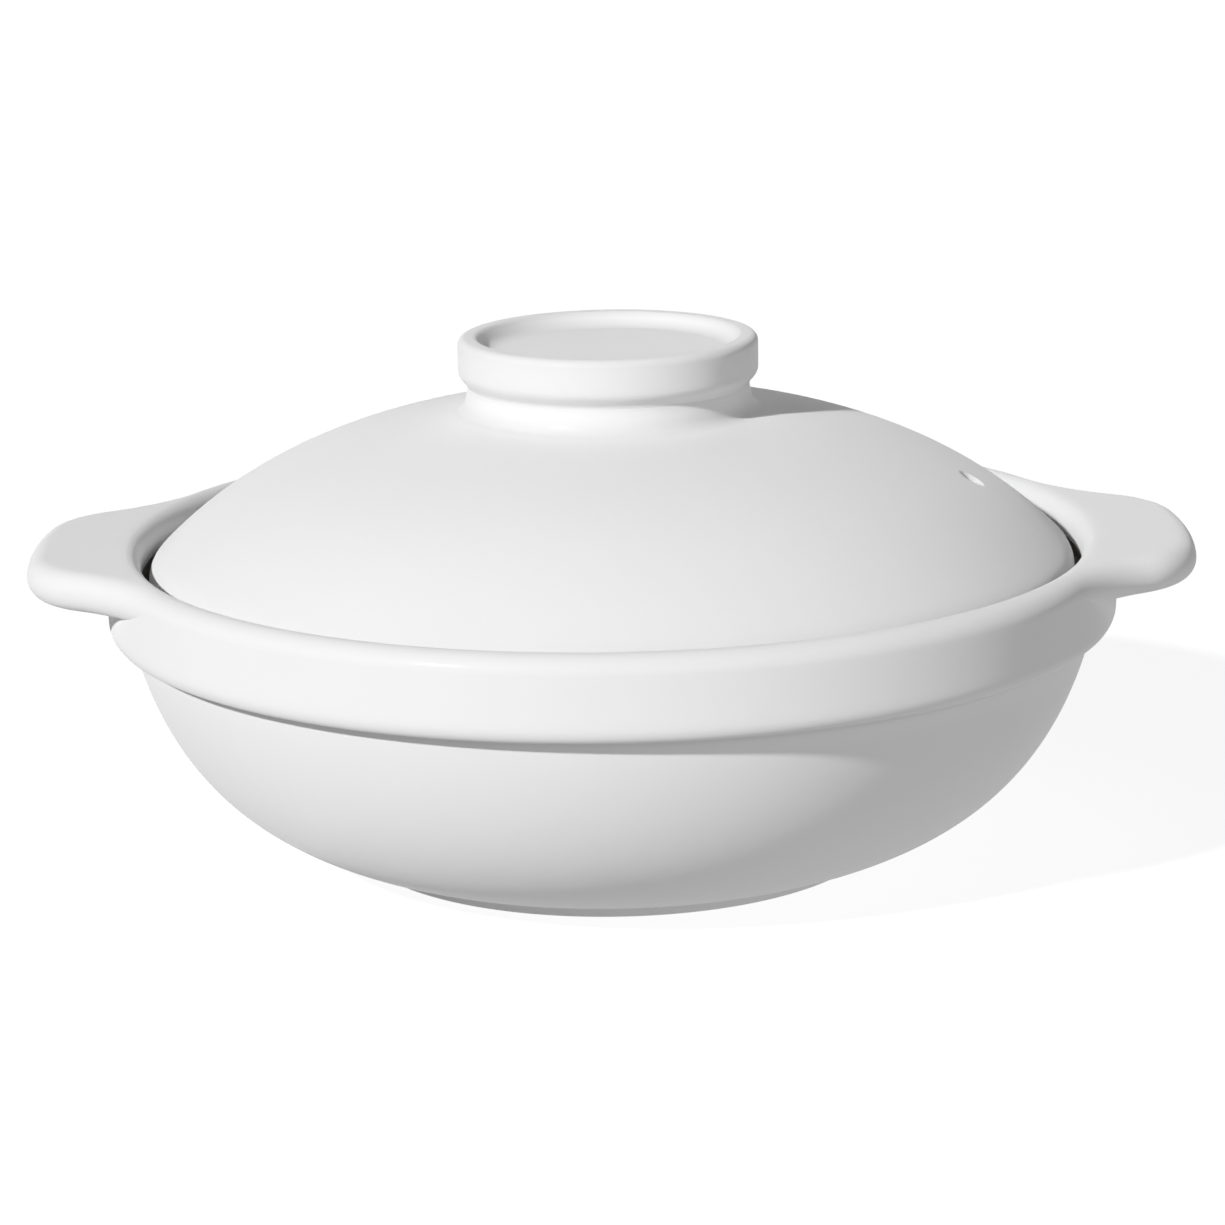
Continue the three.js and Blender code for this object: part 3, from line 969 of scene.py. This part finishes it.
def noise(start, coordinates, scale, detail):
    """Soft noise from nothing to one, at a scale per metre."""
    return start.node("ShaderNodeTexNoise", {}, {"Vector": coordinates, "Scale": scale, "Detail": detail})


def new_material(name):
    """An empty material, with the wire that its nodes start from and its output node."""
    material = bpy.data.materials.new(name)
    material.use_nodes = True
    material.node_tree.nodes.clear()
    output = material.node_tree.nodes.new("ShaderNodeOutputMaterial")
    return material, Wire(material.node_tree), output


def shaded_seat_mask(start, coordinates, ragged):
    """One on the lid's seat, where the glaze is wiped off and the dark bare clay is painted shade for the gap
    between lid and rim: a ring between two radii, from just under the ledge to the seat's height above it,
    with a ragged edge."""
    sizes = bpy.context.scene.pot_sizes
    rim_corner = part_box("pot_bowl")[1]
    ledge = rim_corner.z - sizes.ledge_depth
    rim_wall = rim_corner.x - sizes.rim_width
    seat_start = rim_wall - sizes.ledge_width - SEAT_INNER_MARGIN
    seat_end = rim_wall + SEAT_MARGIN
    in_plan = {0: coordinates, 1: (1.0, 1.0, 0.0)}
    flat = start.node("ShaderNodeVectorMath", {"operation": "MULTIPLY"}, in_plan)
    far = start.node("ShaderNodeVectorMath", {"operation": "LENGTH"}, {0: flat}, "Value")
    true_height = start.node("ShaderNodeSeparateXYZ", {}, {"Vector": coordinates}, "Z")
    height = true_height + SEAT_RAGGED * (ragged - NOISE_MIDDLE)
    above = (height - (ledge - SEAT_MARGIN)) * SEAT_WIPED_EDGE
    below = (ledge + sizes.seat_height - height) * SEAT_WIPED_EDGE
    outside = (far - seat_start) * SEAT_WIPED_EDGE
    inside = (seat_end - far) * SEAT_WIPED_EDGE
    return above.clamped() * below.clamped() * outside.clamped() * inside.clamped()


def glaze_material():
    """White satin glaze with a faint ripple, a touch darker where it thins on an edge, with painted shade in
    hollows, and bare grainy clay on the lid's seat, whose dark colour is painted shade for the gap between
    lid and rim."""
    name = "satin_glaze"
    if name in bpy.data.materials:
        return bpy.data.materials[name]
    look = bpy.context.scene.glaze_look
    material, start, output = new_material(name)
    coordinates = start.node("ShaderNodeTexCoord", {}, {}, "Object")
    lie = start.node("ShaderNodeAttribute", {"attribute_name": "thin_glaze_and_hollow_shade"}, {}, "Fac")
    thin = lie.clamped()
    # Painted shade: where the attribute is below zero, the glaze is darkened in hollows
    shaded = (0.0 - lie).clamped()
    cloud = noise(start, coordinates, CLOUD_SCALE, NOISE_DETAIL)
    ripple = noise(start, coordinates, RIPPLE_SCALE, FINE_NOISE_DETAIL)
    grain = noise(start, coordinates, GRAIN_SCALE, FINE_NOISE_DETAIL)
    # The bare seat's very dark clay is painted shade for the gap between lid and rim
    bare = shaded_seat_mask(start, coordinates, ripple)
    tone = (EDGE_TONE * thin + CLOUD_TONE * (cloud - CLOUD_START)).clamped()
    glaze = shaded.mixed(tone.mixed(opaque(look.white), opaque(look.thin)), opaque(look.shaded))
    clay = grain.mixed(opaque(look.clay), opaque(look.clay_grain))
    base = bare.mixed(glaze, clay)
    cloudy = look.glaze_roughness + CLOUD_ROUGHNESS * (cloud - NOISE_MIDDLE)
    glazed = cloudy + GRAIN_ROUGHNESS * (grain - NOISE_MIDDLE) + EDGE_ROUGHNESS * thin
    roughness = glazed + bare * (look.clay_roughness - glazed)
    height = ripple + (GLAZE_RELIEF + CLAY_RELIEF * bare) * grain
    bump = {"Height": height, "Strength": RIPPLE_STRENGTH, "Distance": RIPPLE_HEIGHT}
    normal = start.node("ShaderNodeBump", {}, bump)
    sockets = {
        "Base Color": base,
        "Roughness": roughness,
        "Normal": normal,
        "Diffuse Roughness": look.chalk,
        "IOR": GLAZE_IOR,
        "Specular IOR Level": look.specular,
        "Coat Weight": look.coat - look.coat * bare,
        "Coat Roughness": look.coat_roughness,
    }
    shader = start.node("ShaderNodeBsdfPrincipled", {}, sockets)
    material.node_tree.links.new(shader.socket, output.inputs["Surface"])
    return material


def foot_material():
    """Glaze on the foot's sides, wiped off its underside, where the bare clay shows its grain."""
    look = bpy.context.scene.glaze_look
    material, start, output = new_material("wiped_foot")
    coordinates = start.node("ShaderNodeTexCoord", {}, {}, "Object")
    height = start.node("ShaderNodeSeparateXYZ", {}, {"Vector": coordinates}, "Z")
    cloud = noise(start, coordinates, FOOT_CLOUD_SCALE, NOISE_DETAIL)
    grain = noise(start, coordinates, FOOT_GRAIN_SCALE, NOISE_DETAIL)
    bare = (1.0 - (height - FOOT_RAGGED * cloud) * FOOT_WIPED_EDGE).clamped()
    tone = (FOOT_CLOUD_TONE * cloud + FOOT_GRAIN_TONE * (grain - FOOT_GRAIN_START)).clamped()
    clay = tone.mixed(opaque(look.clay), opaque(look.clay_grain))
    base = bare.mixed(opaque(look.white), clay)
    roughness = look.glaze_roughness + (look.clay_roughness - look.glaze_roughness) * bare
    bump = {"Height": grain * bare, "Strength": FOOT_STRENGTH, "Distance": FOOT_HEIGHT}
    normal = start.node("ShaderNodeBump", {}, bump)
    sockets = {
        "Base Color": base,
        "Roughness": roughness,
        "Normal": normal,
        "Diffuse Roughness": look.chalk,
        "IOR": GLAZE_IOR,
    }
    shader = start.node("ShaderNodeBsdfPrincipled", {}, sockets)
    material.node_tree.links.new(shader.socket, output.inputs["Surface"])
    return material


# The stage


def seen_white(start):
    """One for what the camera, a mirror or glass sees, and nothing for the soft light on the pot."""
    camera = start.node("ShaderNodeLightPath", {}, {}, "Is Camera Ray")
    glossy = start.node("ShaderNodeLightPath", {}, {}, "Is Glossy Ray")
    clear = start.node("ShaderNodeLightPath", {}, {}, "Is Transmission Ray")
    return (camera + glossy + clear).clamped()


def make_world():
    """A white background, which the glaze mirrors but which sheds no soft light on the pot."""
    world = bpy.data.worlds.new("white_background")
    world.use_nodes = True
    world.node_tree.nodes.clear()
    start = Wire(world.node_tree)
    output = world.node_tree.nodes.new("ShaderNodeOutputWorld")
    shader = start.node("ShaderNodeBackground", {}, {"Color": WHITE, "Strength": seen_white(start)})
    world.node_tree.links.new(shader.socket, output.inputs["Surface"])
    bpy.context.scene.world = world


def glowing(start, rgb, strength):
    """A dull surface of one colour that also gives off white light."""
    dull = start.node("ShaderNodeBsdfDiffuse", {}, {"Color": opaque(rgb)})
    light = start.node("ShaderNodeEmission", {}, {"Color": WHITE, "Strength": strength})
    return start.node("ShaderNodeAddShader", {}, {0: dull, 1: light})


def make_floor(look):
    """A floor that is lit from below, as a shooting table is. For the camera it has a stronger glow, which
    brings it up to white where no shadow falls."""
    half = look.floor_size / 2
    mesh = bpy.data.meshes.new("floor")
    corners = [(-half, -half, 0.0), (half, -half, 0.0), (half, half, 0.0), (-half, half, 0.0)]
    mesh.from_pydata(corners, [], [(0, 1, 2, 3)])
    floor = bpy.data.objects.new("floor", mesh)
    bpy.context.scene.collection.objects.link(floor)
    material, start, output = new_material("pale_floor")
    for_pot = glowing(start, look.floor, look.table)
    for_camera = glowing(start, look.floor_shadow, look.floor_glow)
    shader = start.node("ShaderNodeMixShader", {}, {0: seen_white(start), 1: for_pot, 2: for_camera})
    material.node_tree.links.new(shader.socket, output.inputs["Surface"])
    floor.data.materials.append(material)


def make_lamp(name, strength, azimuth, height, size):
    """A lamp far away, whose direction is given by its azimuth and height."""
    data = bpy.data.lights.new(name, "SUN")
    data.energy = strength
    data.angle = size
    lamp = bpy.data.objects.new(name, data)
    lamp.rotation_euler = (math.pi / 2 - height, 0.0, azimuth + math.pi / 2)
    bpy.context.scene.collection.objects.link(lamp)


def make_camera():
    """The camera at the photograph's place: pitched down, then rolled about its own line of sight."""
    data = bpy.data.cameras.new("camera")
    data.sensor_width = SENSOR_WIDTH
    data.lens = FOCAL_PIXELS / IMAGE_SIDE * SENSOR_WIDTH
    camera = bpy.data.objects.new("camera", data)
    pitched = Matrix.Rotation(math.pi / 2 - CAMERA_PITCH, 4, "X")
    rolled = Matrix.Rotation(CAMERA_ROLL, 4, "Z")
    camera.matrix_world = Matrix.Translation(CAMERA_PLACE) @ pitched @ rolled
    bpy.context.scene.collection.objects.link(camera)
    bpy.context.scene.camera = camera


class POT_OT_stage(bpy.types.Operator):
    """Builds the floor, the light and the camera"""

    bl_idname = "pot.stage"
    bl_label = "Stage"

    def execute(self, context):
        look = context.scene.stage_look
        make_world()
        make_floor(look)
        make_lamp("key", look.key, look.key_azimuth, look.key_height, look.key_size)
        make_lamp("front", look.front, look.front_azimuth, look.front_height, look.soft_size)
        make_lamp("back", look.back, look.back_azimuth, look.back_height, look.soft_size)
        make_camera()
        context.scene.view_settings.view_transform = "Standard"
        return {"FINISHED"}


class POT_PT_panel(bpy.types.Panel):
    """Lists the pieces of the pot and the sizes that they are built from"""

    bl_idname = "POT_PT_panel"
    bl_label = "Lidded pot"
    bl_space_type = "VIEW_3D"
    bl_region_type = "UI"
    bl_category = "Pot"

    def draw(self, context):
        for operator in OPERATORS:
            self.layout.operator(operator.bl_idname)
        for name, group in GROUPS.items():
            box = self.layout.box()
            box.label(text=group.__doc__)
            for field in group.__annotations__:
                box.prop(getattr(context.scene, name), field)


GROUPS = {
    "pot_sizes": PotSizes,
    "handle_sizes": HandleSizes,
    "lid_sizes": LidSizes,
    "knob_sizes": KnobSizes,
    "glaze_look": GlazeLook,
    "stage_look": StageLook,
}
OPERATORS = (POT_OT_bowl, POT_OT_foot, POT_OT_handles, POT_OT_lid, POT_OT_knob, POT_OT_stage)


def register():
    for group in (*GROUPS.values(), *OPERATORS, POT_PT_panel):
        bpy.utils.register_class(group)
    for name, group in GROUPS.items():
        setattr(bpy.types.Scene, name, bpy.props.PointerProperty(type=group))


def unregister():
    for name in GROUPS:
        delattr(bpy.types.Scene, name)
    for group in reversed((*GROUPS.values(), *OPERATORS, POT_PT_panel)):
        bpy.utils.unregister_class(group)


def main():
    register()
    bpy.ops.pot.bowl()
    bpy.ops.pot.foot()
    bpy.ops.pot.handles()
    bpy.ops.pot.lid()
    bpy.ops.pot.knob()
    bpy.ops.pot.stage()


if __name__ == "__main__":
    main()
